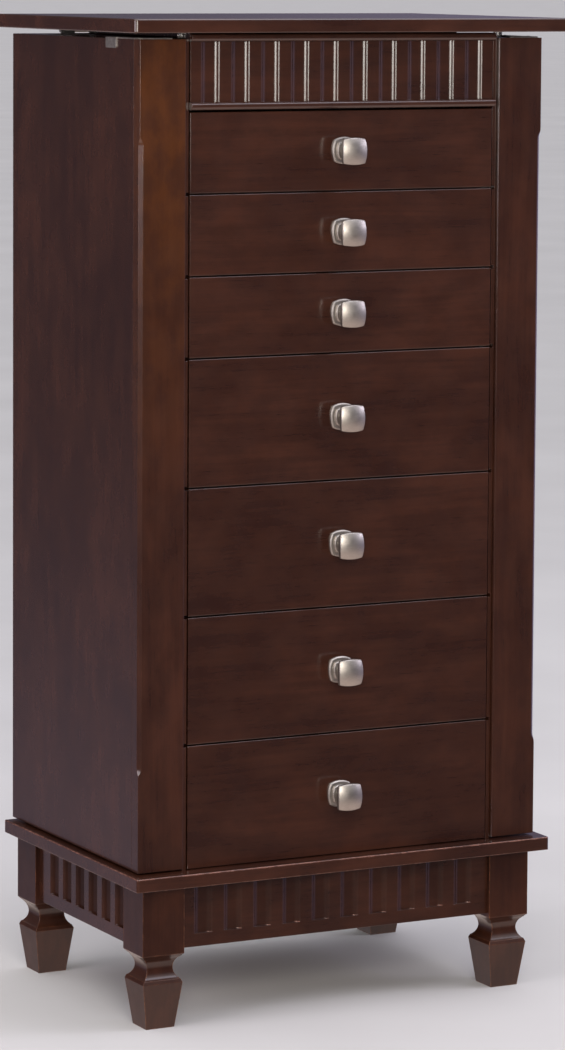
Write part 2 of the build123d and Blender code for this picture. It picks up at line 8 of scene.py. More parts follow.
import bmesh
import bpy
from mathutils import Matrix, Vector, noise


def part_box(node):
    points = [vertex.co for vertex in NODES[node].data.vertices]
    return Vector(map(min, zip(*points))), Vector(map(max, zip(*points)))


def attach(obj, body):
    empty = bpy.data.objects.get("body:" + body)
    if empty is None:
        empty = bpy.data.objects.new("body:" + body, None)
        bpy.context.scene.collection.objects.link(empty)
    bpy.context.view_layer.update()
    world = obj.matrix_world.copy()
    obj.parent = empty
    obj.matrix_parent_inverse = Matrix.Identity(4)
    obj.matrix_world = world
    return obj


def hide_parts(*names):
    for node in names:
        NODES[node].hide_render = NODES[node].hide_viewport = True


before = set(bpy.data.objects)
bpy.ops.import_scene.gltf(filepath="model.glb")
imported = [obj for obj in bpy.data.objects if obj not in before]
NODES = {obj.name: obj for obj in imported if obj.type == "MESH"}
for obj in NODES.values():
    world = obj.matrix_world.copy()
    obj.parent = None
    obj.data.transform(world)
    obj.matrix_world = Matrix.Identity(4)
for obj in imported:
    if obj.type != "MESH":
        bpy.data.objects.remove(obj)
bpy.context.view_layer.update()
SIDES = {"left": -1, "right": 1}
MM = 0.001


# ---------------------------------------------------------------- camera

EYE = Vector((-2.014, -3.893, 1.080))
VIEW_YAW = math.radians(27.41)  # of the line of sight, from +Y towards +X
VIEW_PITCH = math.radians(4.90)  # below the horizon
VIEW_ROLL = math.radians(0.34)
LENS_MM = 144.4
SENSOR_MM = 36.0
LENS_FALL = -0.2  # the vertical shift, small enough for every view to show the whole chest


def make_camera():
    """The view of the photo: from the left and a little above, with a long lens."""
    data = bpy.data.cameras.new("camera")
    data.sensor_width = SENSOR_MM
    data.lens = LENS_MM
    data.shift_y = LENS_FALL
    camera = bpy.data.objects.new("camera", data)
    turn = Matrix.Rotation(-VIEW_YAW, 4, "Z")
    tilt = Matrix.Rotation(math.pi / 2 - VIEW_PITCH, 4, "X")
    roll = Matrix.Rotation(VIEW_ROLL, 4, "Z")
    camera.matrix_world = Matrix.Translation(EYE) @ turn @ tilt @ roll
    bpy.context.scene.collection.objects.link(camera)
    bpy.context.scene.camera = camera


# ---------------------------------------------------------------- shader helpers

def tone(red, green, blue):
    """A display colour, 0 to 255 a channel, as a linear colour with an alpha of 1."""
    shares = [channel / 255 for channel in (red, green, blue)]
    linear = [x / 12.92 if x <= 0.04045 else ((x + 0.055) / 1.055) ** 2.4 for x in shares]
    return (*linear, 1.0)


class Nodes:
    """Short ways to add nodes to a node tree. A value may be a socket or a constant."""

    def __init__(self, tree):
        self.tree = tree

    def feed(self, socket, value):
        if isinstance(value, bpy.types.NodeSocket):
            self.tree.links.new(value, socket)
        else:
            socket.default_value = value

    def node(self, kind, inputs, **settings):
        made = self.tree.nodes.new("ShaderNode" + kind)
        for name, value in settings.items():
            setattr(made, name, value)
        for name, value in inputs.items():
            self.feed(made.inputs[name], value)
        return made

    def place(self, kind="Object"):
        """The point's place in its piece, in metres, or another texture coordinate."""
        return self.node("TexCoord", {}).outputs[kind]

    def part(self, vector, axis):
        """The X, Y or Z of a vector."""
        return self.node("SeparateXYZ", {"Vector": vector}).outputs[axis]

    def scaled(self, vector, scale):
        return self.node("Mapping", {"Vector": vector, "Scale": scale}).outputs["Vector"]

    def noise(self, vector, scale=1.0, detail=3.0, roughness=0.5):
        inputs = {"Vector": vector, "Scale": scale, "Detail": detail, "Roughness": roughness}
        return self.node("TexNoise", inputs).outputs["Fac"]

    def maths(self, operation, first, second=0.0):
        return self.node("Math", {0: first, 1: second}, operation=operation).outputs[0]

    def vector_maths(self, operation, first, second):
        made = self.node("VectorMath", {0: first, 1: second}, operation=operation)
        return made.outputs["Value" if operation == "DOT_PRODUCT" else "Vector"]

    def spread(self, value, low, high, new_low=0.0, new_high=1.0):
        """The value's range low to high, smoothly mapped to the new range."""
        inputs = {
            "Value": value,
            "From Min": low,
            "From Max": high,
            "To Min": new_low,
            "To Max": new_high,
        }
        return self.node("MapRange", inputs, interpolation_type="SMOOTHSTEP").outputs["Result"]

    def mix(self, share, first, second, blend="MIX"):
        inputs = {"Factor": share, 6: first, 7: second}
        return self.node("Mix", inputs, data_type="RGBA", blend_type=blend).outputs[2]

    def ramp(self, share, *stops):
        made = self.node("ValToRGB", {"Fac": share})
        points = made.color_ramp.elements
        while len(points) < len(stops):
            points.new(0.5)
        for point, (where, colour) in zip(points, stops):
            point.position = where
            point.color = colour
        return made.outputs["Color"]

    def bump(self, height, distance, strength=1.0, normal=None):
        inputs = {"Height": height, "Distance": distance, "Strength": strength}
        if normal is not None:
            inputs["Normal"] = normal
        return self.node("Bump", inputs).outputs["Normal"]


class Shader(Nodes):
    """One material with a Principled shader."""

    def __init__(self, name):
        self.material = bpy.data.materials.new(name)
        self.material.use_nodes = True
        super().__init__(self.material.node_tree)
        self.surface = self.tree.nodes["Principled BSDF"]

    def rounded(self, radius):
        """The normal, as if edges were rounded to a radius."""
        return self.node("Bevel", {"Radius": radius}, samples=4).outputs["Normal"]

    def set(self, **values):
        """Sets sockets of the Principled shader: Coat_Weight stands for Coat Weight."""
        for name, value in values.items():
            self.feed(self.surface.inputs[name.replace("_", " ")], value)


# ---------------------------------------------------------------- wood

AXES = {"x": 0, "y": 1, "z": 2}
STAIN_DARK = tone(38, 15, 8)
STAIN_MIDDLE = tone(48, 23, 13)
STAIN_LIGHT = tone(59, 30, 18)
# Dark tone of the wood's pores, also laid as painted shade in the recesses of the flutes.
PORE_AND_SHADE_TONE = tone(23, 9, 6)
STAIN_WORN = tone(128, 80, 50)
# Pale pink tone of a painted highlight, laid along lit arrises of the base moulding and the front apron.
PAINTED_HIGHLIGHT_TONE = tone(176, 122, 104)
TOP_WARM_TONE = tone(86, 44, 4)
RING_PHASE = 78.0  # radians that the growth rings' sine turns over the whole range of its noise
GRAIN_WANDER = 0.03  # metres
WARM_HEIGHTS = (0.45, 0.95)  # metres, over which the colour turns warmer and lighter towards the top
ARRIS_RADIUS = 0.9 * MM  # of the edges, softened in shading only
HIGHLIGHT_FADE = 2.0 * MM  # either side of the height where the painted highlight on the arrises stops
PAINTED_SHADE_DEPTHS = (0.3 * MM, 2.2 * MM)  # below a fluted face, over which the painted shade in the recesses sets in
PAINTED_SHADE_DARKENING, PAINTED_SHADE_DULLING = 0.4, 0.85  # how far the painted shade darkens the wood and dulls the varnish
VARNISH_RELIEF = 0.035 * MM


def along_grain(axis, along, across):
    """Cycles per metre along and across a grain that runs along an axis."""
    scale = [across] * 3
    scale[AXES[axis]] = along
    return scale


def stained_grain(s, place, axis):
    """The stain's colour over the figure of the wood, and its flecks and spots for other layers."""
    drift = s.node("TexNoise", {"Vector": s.scaled(place, along_grain(axis, 2.2, 9.0)), "Scale": 1.0})
    shift = s.vector_maths("SUBTRACT", drift.outputs["Color"], (0.5, 0.5, 0.5))
    wander = s.vector_maths("MULTIPLY", shift, (GRAIN_WANDER, GRAIN_WANDER, GRAIN_WANDER))
    warped = s.vector_maths("ADD", place, wander)

    field = s.noise(s.scaled(warped, along_grain(axis, 1.3, 7.0)), detail=1.5, roughness=0.4)
    rings = s.maths("SINE", s.maths("MULTIPLY", field, RING_PHASE))
    streaks = s.noise(s.scaled(warped, along_grain(axis, 5.0, 190.0)), detail=5.0, roughness=0.62)
    flecks = s.noise(s.scaled(place, along_grain(axis, 45.0, 1500.0)), detail=2.0)
    blotches = s.noise(s.scaled(warped, along_grain(axis, 6.0, 10.0)), detail=4.0, roughness=0.55)
    spots = s.noise(s.scaled(warped, along_grain(axis, 20.0, 34.0)), detail=5.0, roughness=0.65)
    board = s.node("ObjectInfo", {}).outputs["Random"]

    figure = s.spread(rings, -1.0, 1.0, 0.0, 0.13)
    grain = s.spread(streaks, 0.25, 0.75, 0.0, 0.28)
    wide_cloud = s.spread(blotches, 0.32, 0.68, 0.0, 0.38)
    cloud = s.maths("ADD", wide_cloud, s.spread(spots, 0.34, 0.66, 0.0, 0.28))
    own = s.maths("MULTIPLY", board, 0.10)
    share = s.maths("ADD", s.maths("ADD", figure, grain), s.maths("ADD", cloud, own))
    colour = s.ramp(share, (0.18, STAIN_DARK), (0.58, STAIN_MIDDLE), (0.98, STAIN_LIGHT))
    pores = s.spread(flecks, 0.60, 0.74, 0.0, 0.34)
    return s.mix(pores, colour, PORE_AND_SHADE_TONE), flecks, spots


def arris_wear_and_highlight(s, place, reach, highlit_above, lit_left):
    """How strongly the arrises take their arris colour, in patches: bared wood on most boards, and a
    painted highlight where that colour is the pale highlight tone. The other arguments are those of
    wood().
    """
    true_normal = s.node("NewGeometry", {}).outputs["Normal"]
    around = s.rounded(reach * MM)
    turned = s.maths("SUBTRACT", 1.0, s.vector_maths("DOT_PRODUCT", around, true_normal))
    rubbed_and_highlit = s.noise(place, scale=120.0, detail=4.0, roughness=0.7)
    patchy = s.spread(rubbed_and_highlit, 0.42, 0.66, 0.15, 1.0)
    edge = s.maths("MULTIPLY", s.spread(turned, 0.01, 0.16), patchy)
    # lit_left keeps the painted highlight to arrises that turn to the left, towards the lights on that
    # side.
    if lit_left:
        edge = s.maths("MULTIPLY", edge, s.spread(s.part(around, "X"), -0.06, -0.3))
    # Below the given height the painted highlight fades to a tenth.
    if highlit_above is not None:
        up = s.part(place, "Z")
        worn = s.spread(up, highlit_above - HIGHLIGHT_FADE, highlit_above + HIGHLIGHT_FADE, 0.1, 1.0)
        edge = s.maths("MULTIPLY", edge, worn)
    return edge


def flute_painted_shade(s, place, face):
    """How much painted shade lies on what is below the face of a fluted board, in the recesses of its
    flutes.
    """
    axis, level, sign, strength = face
    here = s.part(place, axis.upper())
    below = s.maths("MULTIPLY", s.maths("SUBTRACT", level, here), sign)
    return s.spread(below, *PAINTED_SHADE_DEPTHS, 0.0, strength)


def wood(name, axis, gloss=1.0, wear_and_highlight=0.25, reach=0.9, wear_and_highlight_colour=STAIN_WORN, warm_top=0.0, depth=1.0,
         face=None, highlit_above=None, lit_left=False):
    """Stained wood under satin varnish. The grain runs along an axis, and depth below 1 darkens it.

    wear_and_highlight tints the arrises with wear_and_highlight_colour, over a reach in millimetres:
    bared wood where that colour is the worn tone, and a painted highlight where it is the pale highlight
    tone. lit_left keeps it to arrises that turn to the left, and highlit_above to those above a height.
    warm_top warms the upper end.
    face is (axis, level, outward sign, strength) of a fluted board: painted shade darkens what lies
    below it and dulls its varnish.
    """
    s = Shader(name)
    place = s.place()
    colour, flecks, spots = stained_grain(s, place, axis)
    # The upper end turns a lighter, warmer orange, in patches.
    if warm_top:
        rise = s.spread(s.part(place, "Z"), *WARM_HEIGHTS, 0.0, warm_top)
        veil = s.maths("MULTIPLY", rise, s.spread(spots, 0.36, 0.64, 0.45, 1.0))
        colour = s.mix(veil, colour, TOP_WARM_TONE)
    edge = arris_wear_and_highlight(s, place, reach, highlit_above, lit_left)
    # The arrises take their colour: bared wood with the worn tone, and a painted highlight with the pale
    # highlight tone.
    colour = s.mix(s.maths("MULTIPLY", edge, wear_and_highlight), colour, wear_and_highlight_colour)
    if depth != 1.0:
        colour = s.mix(1.0, colour, (depth, depth, depth, 1.0), blend="MULTIPLY")
    coat = gloss
    if face:
        # Painted shade: the recesses of the flutes are darkened and their varnish dulled.
        painted_shade = flute_painted_shade(s, place, face)
        colour = s.mix(s.maths("MULTIPLY", painted_shade, PAINTED_SHADE_DARKENING), colour, PORE_AND_SHADE_TONE)
        coat = s.maths("SUBTRACT", gloss, s.maths("MULTIPLY", painted_shade, PAINTED_SHADE_DULLING * gloss))

    orange_peel = s.noise(place, scale=260.0, detail=2.0)
    fine_relief = s.maths("MULTIPLY", flecks, 0.25)
    relief = s.maths("ADD", fine_relief, s.maths("MULTIPLY", orange_peel, 0.6))
    normal = s.bump(relief, VARNISH_RELIEF, 0.4, s.rounded(ARRIS_RADIUS))
    mottle = s.noise(place, scale=45.0, detail=3.0)
    s.set(
        Base_Color=colour,
        Roughness=s.spread(mottle, 0.3, 0.7, 0.42, 0.52),
        Specular_IOR_Level=0.1,
        Coat_Weight=coat,
        Coat_Roughness=0.15,
        Coat_IOR=1.6,
        Normal=normal,
        Coat_Normal=normal,
    )
    return s.material


# ---------------------------------------------------------------- other materials

def satin_nickel(name):
    """Brushed nickel: fine lines along X and soft smudges."""
    s = Shader(name)
    place = s.place()
    lines = s.noise(s.scaled(place, (60.0, 2600.0, 5200.0)), detail=3.0, roughness=0.6)
    smudge = s.noise(place, scale=130.0, detail=3.0)
    colour = s.ramp(lines, (0.3, tone(160, 153, 146)), (0.7, tone(180, 174, 167)))
    colour = s.mix(s.spread(smudge, 0.45, 0.75, 0.0, 0.2), colour, tone(150, 142, 134))
    s.set(
        Base_Color=colour,
        Metallic=1.0,
        Roughness=s.spread(smudge, 0.3, 0.7, 0.40, 0.47),
        Normal=s.bump(lines, 0.01 * MM, 0.35, s.rounded(0.35 * MM)),
    )
    return s.material


def hinge_steel(name):
    """Zinc-plated steel, slightly mottled."""
    s = Shader(name)
    place = s.place()
    spangle = s.noise(place, scale=420.0, detail=3.0)
    colour = s.ramp(spangle, (0.3, tone(150, 146, 142)), (0.7, tone(184, 180, 175)))
    s.set(
        Base_Color=colour,
        Metallic=1.0,
        Roughness=s.spread(spangle, 0.3, 0.7, 0.42, 0.56),
        Normal=s.bump(spangle, 0.01 * MM, 0.3, s.rounded(0.2 * MM)),
    )
    return s.material


def mirror_glass(name):
    s = Shader(name)
    haze = s.noise(s.place(), scale=30.0, detail=4.0)
    s.set(
        Base_Color=s.ramp(haze, (0.3, tone(222, 229, 227)), (0.7, tone(234, 239, 237))),
        Metallic=1.0,
        Roughness=s.spread(haze, 0.35, 0.75, 0.015, 0.05),
    )
    return s.material


def felt(name):
    """Short champagne felt: cloudy nap over fine fibres."""
    s = Shader(name)
    place = s.place()
    nap = s.noise(place, scale=38.0, detail=3.0, roughness=0.6)
    fibres = s.noise(place, scale=1500.0, detail=4.0, roughness=0.75)
    colour = s.ramp(nap, (0.3, tone(194, 176, 148)), (0.7, tone(208, 191, 163)))
    colour = s.mix(s.spread(fibres, 0.35, 0.7, 0.0, 0.4), colour, tone(160, 138, 108))
    height = s.maths("ADD", s.maths("MULTIPLY", nap, 0.5), fibres)
    s.set(
        Base_Color=colour,
        Roughness=s.spread(fibres, 0.3, 0.7, 0.82, 0.98),
        Specular_IOR_Level=0.2,
        Sheen_Weight=0.35,
        Sheen_Roughness=0.45,
        Normal=s.bump(height, 0.18 * MM, 0.7),
    )
    return s.material


def clear_plastic(name):
    s = Shader(name)
    cloud = s.noise(s.place(), scale=300.0, detail=2.0)
    s.set(
        Base_Color=s.ramp(cloud, (0.3, tone(176, 170, 162)), (0.7, tone(196, 190, 183))),
        Roughness=s.spread(cloud, 0.3, 0.7, 0.2, 0.3),
        Transmission_Weight=0.9,
        IOR=1.47,
    )
    return s.material


def catch_plastic(name):
    """Moulded brown plastic with a fine texture."""
    s = Shader(name)
    grain = s.noise(s.place(), scale=1800.0, detail=2.0)
    s.set(
        Base_Color=s.ramp(grain, (0.3, tone(62, 38, 28)), (0.7, tone(78, 50, 38))),
        Roughness=s.spread(grain, 0.3, 0.7, 0.42, 0.58),
        Normal=s.bump(grain, 0.02 * MM, 0.4),
    )
    return s.material


def floor_paint(name):
    """Pale matt studio floor with a faint cloudiness."""
    s = Shader(name)
    cloud = s.noise(s.place(), scale=2.5, detail=4.0)
    s.set(
        Base_Color=s.ramp(cloud, (0.3, tone(190, 188, 186)), (0.7, tone(197, 195, 193))),
        Roughness=s.spread(cloud, 0.3, 0.7, 0.75, 0.9),
        Specular_IOR_Level=0.15,
    )
    return s.material


def finish_nodes():
    """Gives every CAD node its finish. The grain follows each board's length."""
    outer = {axis: wood(f"case_wood_{axis}", axis) for axis in AXES}
    worn = wood("leg_wood", "z", gloss=0.6, wear_and_highlight=0.95, reach=1.8)
    moulding_low, moulding_high = (corner[2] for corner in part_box("base_moulding"))
    moulding_middle = 0.5 * (moulding_low + moulding_high)
    # The base moulding's upper arrises carry a painted highlight, in patches.
    rubbed_and_highlit = wood("moulding_wood", "x", wear_and_highlight=3.2, reach=1.9, wear_and_highlight_colour=PAINTED_HIGHLIGHT_TONE, highlit_above=moulding_middle)
    # The fluted aprons' faces, and how strongly painted shade darkens their recesses.
    front_face = ("y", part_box("apron_front")[0][1], -1, 0.3)
    left_face = ("x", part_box("apron_left")[0][0], -1, 1.0)
    right_face = ("x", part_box("apron_right")[1][0], 1, 1.0)
    # The front apron's arrises that turn to the left carry a painted highlight.
    front_apron = wood("front_apron_wood", "x", wear_and_highlight=2.5, reach=1.6, wear_and_highlight_colour=PAINTED_HIGHLIGHT_TONE, lit_left=True,
                       face=front_face)
    warm = wood("left_stile_wood", "z", warm_top=0.5)
    inner = {axis: wood(f"inner_wood_{axis}", axis, gloss=0.7, depth=0.8) for axis in AXES}
    nickel, steel = satin_nickel("satin_nickel"), hinge_steel("hinge_steel")
    cloth = felt("felt")
    finish = {
        "lid_panel": outer["x"],
        "base_moulding": rubbed_and_highlit,
        "apron_front": front_apron,
        "apron_rear": inner["x"],
        "apron_left": wood("left_apron_wood", "y", face=left_face),
        "apron_right": wood("right_apron_wood", "y", face=right_face),
        "frieze_panel": outer["x"],
        "frieze_mouldings": outer["x"],
        "left_door_stile": warm,
        "right_door_stile": outer["z"],
        "left_door_panel": outer["z"],
        "right_door_panel": outer["z"],
        "partitions": outer["z"],
        "rear_posts": outer["z"],
        "back_rails": inner["x"],
        "back_panel": inner["z"],
        "drawer_dividers": inner["x"],
        "tray_floor": inner["x"],
        "tray_dividers": inner["x"],
        "mirror_frame": outer["x"],
        "mirror": mirror_glass("mirror_glass"),
        "lid_bumpers": clear_plastic("clear_plastic"),
        "door_catches": catch_plastic("catch_plastic"),
        "case_hinge_leaves": steel,
        "lid_hinge_leaves": steel,
        "hinge_pins": steel,
        "ring_pad": cloth,
    }
    for end in ("front", "rear"):
        for side in SIDES:
            finish[f"leg_{end}_{side}"] = worn
    for side in SIDES:
        finish[f"{side}_corner_plate"] = steel
        finish[f"{side}_door_hinge_leaves"] = steel
        finish[f"{side}_necklace_hooks"] = nickel
        finish[f"{side}_pouch"] = cloth
    for number in range(1, 8):
        finish[f"drawer_{number}_front"] = outer["x"]
        finish[f"drawer_{number}_box"] = inner["y"]
        finish[f"drawer_{number}_knob"] = nickel
    for name, node in NODES.items():
        node.data.materials.clear()
        node.data.materials.append(finish[name])
    return cloth, steel


# ---------------------------------------------------------------- mesh helpers

def show(name, mesh, material, body):
    """Makes a smooth piece that rides on a body from a bmesh."""
    data = bpy.data.meshes.new(name)
    mesh.to_mesh(data)
    mesh.free()
    for face in data.polygons:
        face.use_smooth = True
    data.materials.append(material)
    piece = bpy.data.objects.new(name, data)
    bpy.context.scene.collection.objects.link(piece)
    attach(piece, body)
    return piece


def join_rows(mesh, rows, closed=False):
    """Joins rows of vertices with quads. closed joins each row's end to its start."""
    for first, second in zip(rows, rows[1:]):
        count = len(first)
        for index in range(count if closed else count - 1):
            after = (index + 1) % count
            mesh.faces.new((first[index], first[after], second[after], second[index]))


def even_steps(low, high, step):
    """Evenly spaced values from low to high, at most a step apart."""
    count = max(1, math.ceil((high - low) / step))
    return [low + (high - low) * index / count for index in range(count + 1)]


def side_of(node, sign):
    """The x of the right side of a node's box for a sign of 1, and of its left side for -1."""
    low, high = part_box(node)
    return (high if sign > 0 else low)[0]


def waver(place, scale=1.0):
    """Smooth noise, about -1 to 1, that changes over about 1 / scale."""
    return noise.noise(Vector(place) * scale)


def rolled_edge(distance):
    """Height share of felt at a distance from its cut edge: it rolls down to the wood."""
    share = min(1.0, distance / FELT)
    return math.sqrt(1.0 - (1.0 - share) ** 2)


# ---------------------------------------------------------------- felt linings

FELT = 1.2 * MM
FELT_GAP = 0.15 * MM  # of a lining from the wood behind it
LINING_FOLD = 3.0 * MM  # radius where a wall meets the floor
LINING_CORNER = 5.0 * MM
LINING_STEP = 9.0 * MM
CORNER_STEPS = 4
FOLD_STEPS = 5
FLOOR_SHARES = (0.86, 0.7, 0.54, 0.38, 0.22, 0.08)  # of a floor's size, for its rings of vertices
# Inset and rise of a top edge's rows, in thicknesses of felt.
RIM_ROWS = ((0.0, -0.5), (0.15, -0.1), (0.5, 0.1), (0.85, -0.1), (1.0, -0.6))
RAGGED = 0.35 * MM  # of a lining's top edge
FLOOR_SWELL = 0.4 * MM
PANEL_SWELL = 0.25 * MM
ROLL_STEPS = 20


def lining_profile(height):
    """(inset, height) down a lining's wall, from its rolled top edge to the edge of its floor."""
    points = [(inset * FELT, height + rise * FELT) for inset, rise in RIM_ROWS]
    walls = even_steps(FELT + LINING_FOLD, height - FELT, LINING_STEP)
    points += [(FELT, z) for z in reversed(walls)]
    for step in range(1, FOLD_STEPS + 1):
        angle = math.pi / 2 * step / FOLD_STEPS
        inset = FELT + LINING_FOLD * (1 - math.cos(angle))
        points.append((inset, FELT + LINING_FOLD * (1 - math.sin(angle))))
    return points


def rounded_loop(x, y, inset):
    """Points round a rectangle with rounded corners, as many at every inset."""
    corner = LINING_CORNER
    xs = even_steps(x[0] + corner, x[1] - corner, LINING_STEP)
    ys = even_steps(y[0] + corner, y[1] - corner, LINING_STEP)
    sides = (
        [(place, y[0] + inset) for place in xs],
        [(x[1] - inset, place) for place in ys],
        [(place, y[1] - inset) for place in reversed(xs)],
        [(x[0] + inset, place) for place in reversed(ys)],
    )
    centres = ((x[1], y[0], -1, 1), (x[1], y[1], -1, -1), (x[0], y[1], 1, -1), (x[0], y[0], 1, 1))
    points = []
    for index, (side, (cx, cy, dx, dy)) in enumerate(zip(sides, centres)):
        points += side
        reach = corner - inset
        for step in range(1, CORNER_STEPS):
            angle = math.radians(90 * (index - 1) + 90 / CORNER_STEPS * step)
            px = cx + dx * corner + reach * math.cos(angle)
            py = cy + dy * corner + reach * math.sin(angle)
            points.append((px, py))
    return points


def floor_rows(mesh, edge, middle, height):
    """Rings of vertices inside the edge of a lining's floor, each smaller than the last."""
    rows = []
    for share in FLOOR_SHARES:
        row = []
        for point in edge:
            px, py = (middle + (point - middle) * share).xy
            swell = FLOOR_SWELL * max(0.0, waver((px, py, 7.0), scale=25))
            row.append(mesh.verts.new((px, py, height + swell)))
        rows.append(row)
    return rows


def lining(name, x, y, floor, height, body, material):
    """Felt pressed into a box: a floor and four walls, a little uneven along the top."""
    x = (x[0] + FELT_GAP, x[1] - FELT_GAP)
    y = (y[0] + FELT_GAP, y[1] - FELT_GAP)
    floor += FELT_GAP
    mesh = bmesh.new()
    rows = []
    for level, (inset, rise) in enumerate(lining_profile(height)):
        row = []
        for px, py in rounded_loop(x, y, inset):
            ragged = 0.0
            if level < len(RIM_ROWS):
                ragged = RAGGED * waver((px, py, floor), scale=70)
            row.append(mesh.verts.new((px, py, floor + rise + ragged)))
        rows.append(row)
    edge = [vert.co.copy() for vert in rows[-1]]
    middle = Vector(((x[0] + x[1]) / 2, (y[0] + y[1]) / 2, 0.0))
    rows += floor_rows(mesh, edge, middle, floor + FELT)
    join_rows(mesh, rows, closed=True)
    mesh.faces.new(rows[-1])
    piece = show(name, mesh, material, body)


def line_drawers(material):
    """Each drawer box is lined to just below its rim."""
    side, bottom, below_rim = 8.0 * MM, 4.0 * MM, 4.0 * MM
    for number in range(1, 8):
        low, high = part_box(f"drawer_{number}_box")
        floor = low[2] + bottom
        x = (low[0] + side, high[0] - side)
        y = (low[1], high[1] - side)
        height = high[2] - below_rim - floor
        lining(f"drawer_{number}_lining", x, y, floor, height, f"drawer_{number}", material)


def line_tray(material):
    """Three compartments behind the long divider, and the ring compartment in front of it."""
    wall, cross_x, below_rim = 6.0 * MM, 58.0 * MM, 2.0 * MM
    low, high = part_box("tray_dividers")
    front, back = (corner[1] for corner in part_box("tray_floor"))
    height = high[2] - low[2] - below_rim
    near, far = cross_x - wall / 2, cross_x + wall / 2
    bays = {"left": (low[0], -far), "middle": (-near, near), "right": (far, high[0])}
    for name, x in bays.items():
        lining(f"tray_lining_{name}", x, (low[1] + wall, back), low[2], height, "case", material)
    lining("tray_lining_rings", (low[0], high[0]), (front, low[1]), low[2], height, "case", material)


def with_rim(places):
    """Even places with closer ones added inside both ends, where the felt rolls down."""
    rim = [share * FELT for share in (0.15, 0.4, 0.75, 1.2)]
    first, *inner, last = places
    start = [first, *(first + step for step in rim)]
    end = [*(last - step for step in reversed(rim)), last]
    return start + inner + end


def felt_panel(side, material):
    """Felt on the outer face of a partition, behind the necklaces."""
    inset_low, inset_front, inset_top, post_gap = 3.0 * MM, 20.0 * MM, 3.0 * MM, 0.5 * MM
    sign = SIDES[side]
    low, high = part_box("partitions")
    wall = side_of("partitions", sign)
    ys = even_steps(low[1] + inset_front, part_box("rear_posts")[0][1] - post_gap, LINING_STEP)
    zs = even_steps(low[2] + inset_low, high[2] - inset_top, 2 * LINING_STEP)
    ys, zs = with_rim(ys), with_rim(zs)
    mesh = bmesh.new()
    rows = []
    for z in zs:
        row = []
        for y in ys:
            edge = min(y - ys[0], ys[-1] - y, z - zs[0], zs[-1] - z)
            swell = PANEL_SWELL * waver((wall, y, z), scale=18)
            out = FELT_GAP + (FELT + swell) * rolled_edge(edge)
            row.append(mesh.verts.new((wall + sign * out, y, z)))
        rows.append(row)
    join_rows(mesh, rows)
    piece = show(f"{side}_felt_panel", mesh, material, "case")


def roll_section(half, top, size, soft):
    """(across, up) round a roll's section. size is below 1 near the ends."""
    points = []
    for step in range(ROLL_STEPS):
        angle = 2 * math.pi * step / ROLL_STEPS
        across, up = math.cos(angle), math.sin(angle)
        # Powers below 1 turn the round section into a squarish one.
        bulge = half * math.copysign(abs(across) ** 0.75, across) * size
        crown = math.copysign(abs(up) ** 0.8, up) * (0.25 + 0.75 * size) * soft
        points.append((bulge, min(top / 2 * (1 + crown), top)))
    return points


def ring_rolls(material):
    """Six felt-covered foam rolls, side by side, that grip rings between them."""
    count, sections = 6, 60
    low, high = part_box("ring_pad")
    gap = FELT + 0.4 * MM  # from the lining's walls
    above_lining, between, below_top = 0.45 * MM, 0.12 * MM, 0.6 * MM
    x = (low[0] + gap, high[0] - gap)
    floor = low[2] + FELT + FELT_GAP + above_lining
    pitch = (high[1] - low[1] - 2 * gap) / count
    half = pitch / 2 - between
    top = high[2] - below_top - floor
    nose = 5.0 * MM
    mesh = bmesh.new()
    for index in range(count):
        middle = low[1] + gap + pitch * (index + 0.5)
        rows = []
        for section in range(sections + 1):
            # Sections crowd together at the rounded ends.
            share = 0.5 - 0.5 * math.cos(math.pi * section / sections)
            place = x[0] + (x[1] - x[0]) * share
            end = min(1.0, min(place - x[0], x[1] - place) / nose)
            size = max(0.05, math.sqrt(1 - (1 - end) ** 2))
            soft = 1.0 + 0.02 * waver((place * 30, index * 3.1, 0.0))
            outline = roll_section(half, top, size, soft)
            rows.append([mesh.verts.new((place, middle + bulge, floor + up)) for bulge, up in outline])
        join_rows(mesh, rows, closed=True)
        for end_row in (rows[0], rows[-1]):
            mesh.faces.new(end_row)
    piece = show("ring_rolls", mesh, material, "case")
    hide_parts("ring_pad")


# ---------------------------------------------------------------- pouches

GATHERS = 27
POUCH_MARGIN = 1.5 * MM  # inside the CAD box, along and up
POUCH_GAP = 0.5 * MM  # from the door panel
POUCH_ROOM = 1.2 * MM  # of the CAD box's thickness, for that gap and some air in front
POUCH_FULLNESS = 12.5 * MM
POUCH_SLACK = 1.4 * MM
# Shares of the pouch's height: it opens out from its foot, draws in from its waist, and is
# gathered at its hem.
FOOT_SHARE, WAIST_SHARE, HEM_SHARE = 0.30, 0.42, 0.93
DRAWN_IN, MOUTH_FLARE = 0.42, 0.22  # shares of its fullness, lost at the hem and won back above it
RIPPLE, HEM_RIPPLE, FOOT_RIPPLE = 0.35, 2.0, 0.9  # mm, of the gathers
HEM_REACH, FOOT_REACH = 0.26, 0.12  # shares of the height, over which the ripples fade
HEM_SAG = 0.6 * MM
HEM_RADIUS = 1.3 * MM
POUCH_COLUMNS, POUCH_LEVELS, HEM_STEPS = 420, 44, 10


